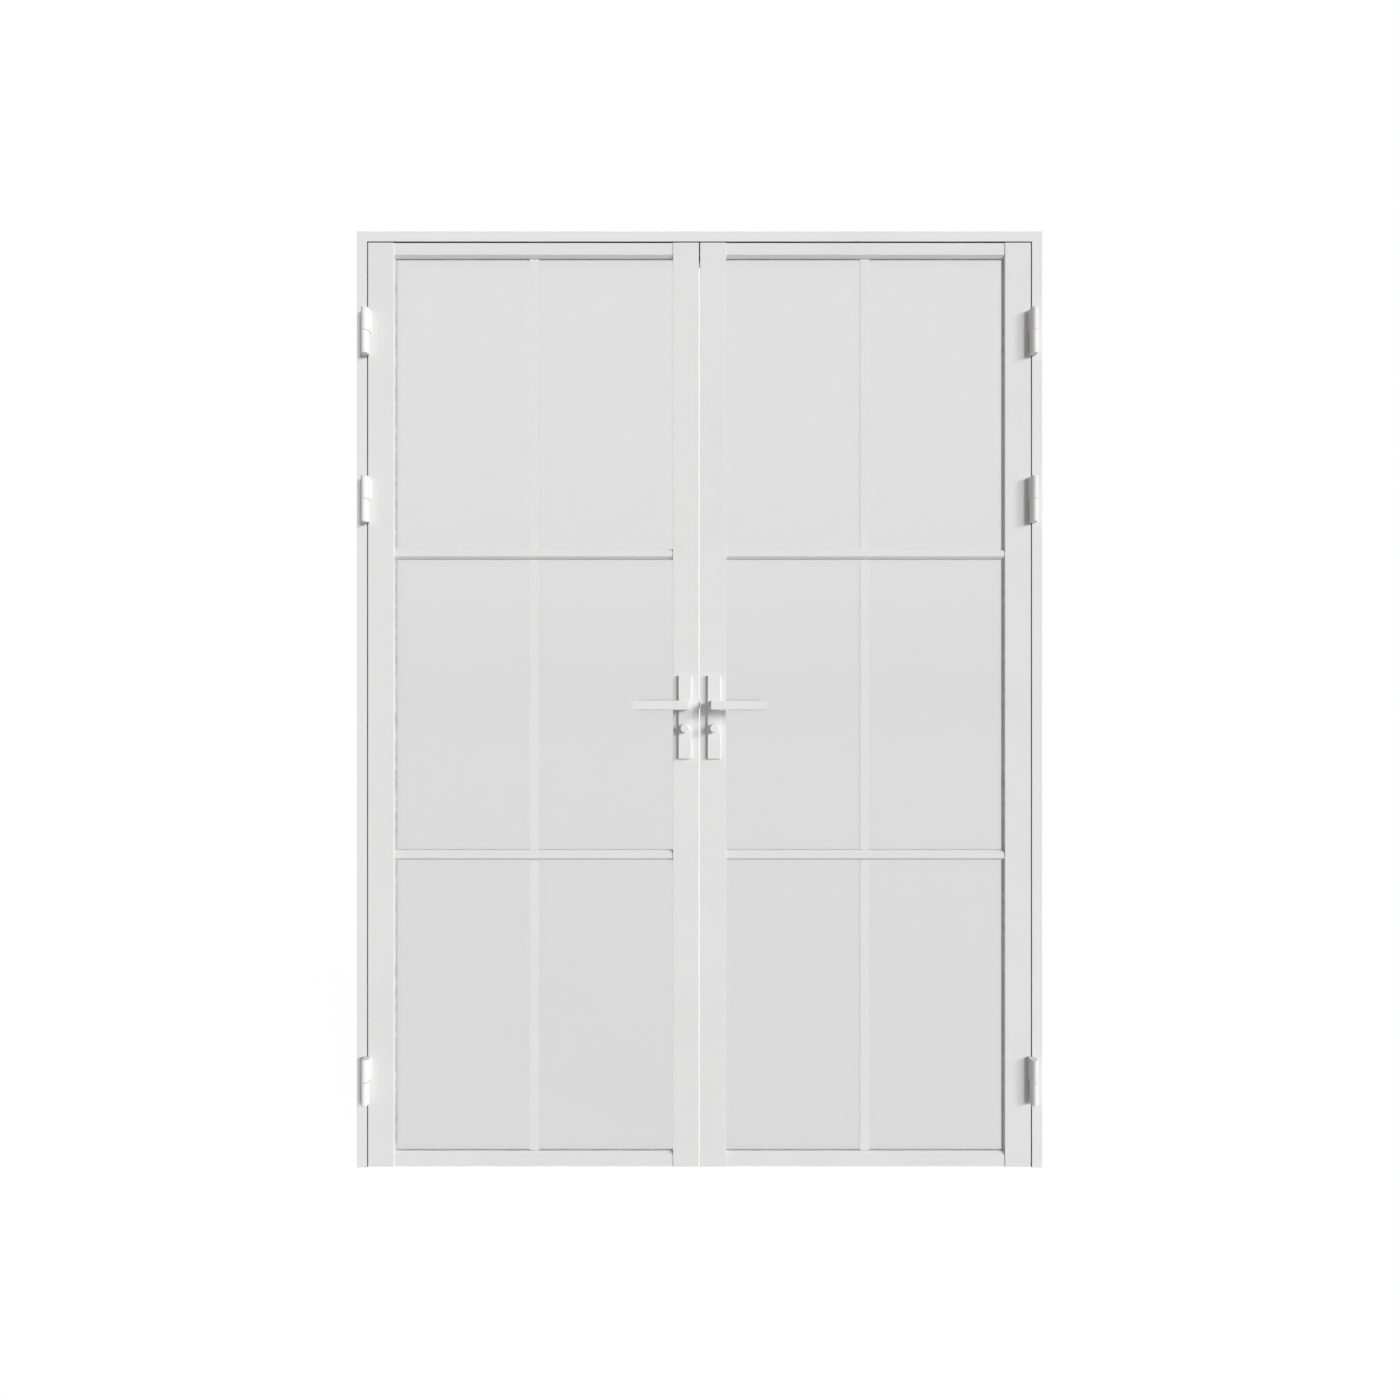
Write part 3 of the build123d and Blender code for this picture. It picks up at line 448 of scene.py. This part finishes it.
HINGE_HEIGHTS = [0.222, 1.673, 2.092]
FOOT_Y = -0.0202
weld_sizes = {"Bead Radius": 1.1 * MM, "Pitch": 1.5 * MM}
for side, mark in (("left", -1), ("right", 1)):
    for body, x, low_end, high_end, finish, slot in (
        (side + "_leaf", 0.8245, 0.002, 0.056, leaf_paint, "leaf_paint"),
        ("frame", 0.8415, -0.056, -0.002, frame_paint, "frame_paint"),
    ):
        ends = []
        for height in HINGE_HEIGHTS:
            ends += [(mark * x, FOOT_Y, height + low_end), (mark * x, FOOT_Y, height + high_end)]
        grow(side + "_welds_on_" + body, welds, ends, [(0, 1), (2, 3), (4, 5)], (0, 0, 1),
             weld_sizes, finish, body)

# %% [markdown]
# ## The floor and the surroundings
#
# The doors stand in a white studio. The floor and the sky look pure white to the camera,
# to reflections and through the glass. As a light, it is weaker: the backdrop gives the
# rear of the doors a fair grey light, and the front gets only a modest one. That
# difference is what the Light Path node is for: the face is lit at a plain level and
# still stands against white. A small share of the floor stays a real surface, so that
# the doors leave a faint shadow on it.


# %% Surroundings
def seen_directly(tree, in_glass=1.0):
    """1 for rays from the camera, in_glass for those in a reflection or glass, 0 for light."""
    rays = tree.nodes.new("ShaderNodeLightPath").outputs
    glossy = maths(tree, "MAXIMUM", rays["Is Glossy Ray"], rays["Is Transmission Ray"])
    return maths(tree, "MAXIMUM", rays["Is Camera Ray"], maths(tree, "MULTIPLY", glossy, in_glass))


AMBIENT_FRONT = 0.22
AMBIENT_BEHIND = 0.7
HORIZON_IN_GLASS = 0.945
FLOOR_GREY = 0.50
FLOOR_WHITE_SHARE = 0.88
FLOOR_GLOW = 1.09
FLOOR_IN_GLASS = 0.93

world = bpy.data.worlds.new("studio")
bpy.context.scene.world = world
world.use_nodes = True
sky = world.node_tree
background = sky.nodes["Background"]
background.inputs["Color"].default_value = (1.0, 1.0, 1.0, 1.0)
direction = sky.nodes.new("ShaderNodeSeparateXYZ")
sky.links.new(sky.nodes.new("ShaderNodeTexCoord").outputs["Generated"], direction.inputs["Vector"])


def ramp(axis, start, end, low, high):
    """A level that rises from low to high as a ray's direction turns along an axis."""
    node = sky.nodes.new("ShaderNodeMapRange")
    for name, value in (("From Min", start), ("From Max", end), ("To Min", low), ("To Max", high)):
        node.inputs[name].default_value = value
    sky.links.new(direction.outputs[axis], node.inputs["Value"])
    return node.outputs["Result"]


def choose(factor, if_no, if_yes):
    """One level or another, by a Light Path output."""
    node = sky.nodes.new("ShaderNodeMix")
    sky.links.new(factor, node.inputs["Factor"])
    for socket, value in ((node.inputs["A"], if_no), (node.inputs["B"], if_yes)):
        if isinstance(value, float):
            socket.default_value = value
        else:
            sky.links.new(value, socket)
    return node.outputs["Result"]


path = sky.nodes.new("ShaderNodeLightPath")
lighting = ramp("Y", -0.1, 0.1, AMBIENT_FRONT, AMBIENT_BEHIND)
reflected = ramp("Z", 0.0, 0.24, HORIZON_IN_GLASS, 1.0)
level = choose(seen_directly(sky), lighting, reflected)
level = choose(path.outputs["Is Camera Ray"], level, 1.0)
sky.links.new(level, background.inputs["Strength"])

bpy.ops.mesh.primitive_plane_add(size=60.0, location=(0, 0, 0))
floor = bpy.context.object
floor.name = "studio_floor"
floor_material, tree, shader, place = start_material("studio_floor", (FLOOR_GREY,) * 3, 0.9)
white = tree.nodes.new("ShaderNodeEmission")
white.inputs["Strength"].default_value = FLOOR_GLOW
share = maths(tree, "MULTIPLY", seen_directly(tree, FLOOR_IN_GLASS), FLOOR_WHITE_SHARE)
mix = tree.nodes.new("ShaderNodeMixShader")
tree.links.new(share, mix.inputs["Fac"])
tree.links.new(shader.outputs["BSDF"], mix.inputs[1])
tree.links.new(white.outputs["Emission"], mix.inputs[2])
tree.links.new(mix.outputs["Shader"], tree.nodes["Material Output"].inputs["Surface"])
floor.data.materials.append(floor_material)
print("surroundings: ambient", AMBIENT_FRONT, "in front and", AMBIENT_BEHIND, "behind")

# %% [markdown]
# ## The key light
#
# The shadows of the hinges and levers fall to the left and slightly down, and they fade
# as they get longer. A tall softbox that stands to the right and reaches towards the
# camera does that. Two wide suns stand for its far end and its near end, so the round
# hinges are lit more evenly. The lamps themselves are kept out of the panes, as a
# photographer would do with black flags.

# %% Key light
FAR_END, FAR_STRENGTH = (-1.75, 1.0, -0.6), 1.8
NEAR_END, NEAR_STRENGTH = (-0.75, 1.0, -0.3), 1.78
KEY_SOFTNESS = 18.0


def far_lamp(name, strength, softness, travel):
    """A lamp far away, by its strength, its width in degrees and where its light goes."""
    lamp = bpy.data.lights.new(name, "SUN")
    lamp.energy = strength
    lamp.angle = math.radians(softness)
    holder = bpy.data.objects.new(name, lamp)
    bpy.context.scene.collection.objects.link(holder)
    holder.rotation_euler = Vector(travel).to_track_quat("-Z", "Y").to_euler()
    holder.visible_glossy = False
    holder.visible_transmission = False
    print(name, "travels along", [round(v, 2) for v in Vector(travel).normalized()])


far_lamp("softbox far end", FAR_STRENGTH, KEY_SOFTNESS, FAR_END)
far_lamp("softbox near end", NEAR_STRENGTH, KEY_SOFTNESS, NEAR_END)

# %% [markdown]
# ## The camera
#
# The view is level and straight on, from close by with a wide lens: the sides of the
# outer stiles can be seen, and those of the inner ones cannot. The lens follows from
# the distance and from how much of the picture's width the frame fills.

# %% Camera
PICTURE_SIDE = 1400.0
MM_PER_PIXEL = 2.5084
LEAF_FRONT = -0.020
CAMERA_DISTANCE = 1.59
CAMERA_X = 0.00135
CAMERA_Z = 1.1727
camera_data = bpy.data.cameras.new("camera")
camera_data.sensor_width = 36.0
camera_data.lens = 36.0 * CAMERA_DISTANCE / (PICTURE_SIDE * MM_PER_PIXEL * MM)
camera = bpy.data.objects.new("camera", camera_data)
bpy.context.scene.collection.objects.link(camera)
camera.location = (CAMERA_X, LEAF_FRONT - CAMERA_DISTANCE, CAMERA_Z)
camera.rotation_euler = (math.radians(90), 0, 0)
bpy.context.scene.camera = camera
bpy.context.scene.view_settings.view_transform = "Standard"
print("lens", round(camera_data.lens, 2), "mm")
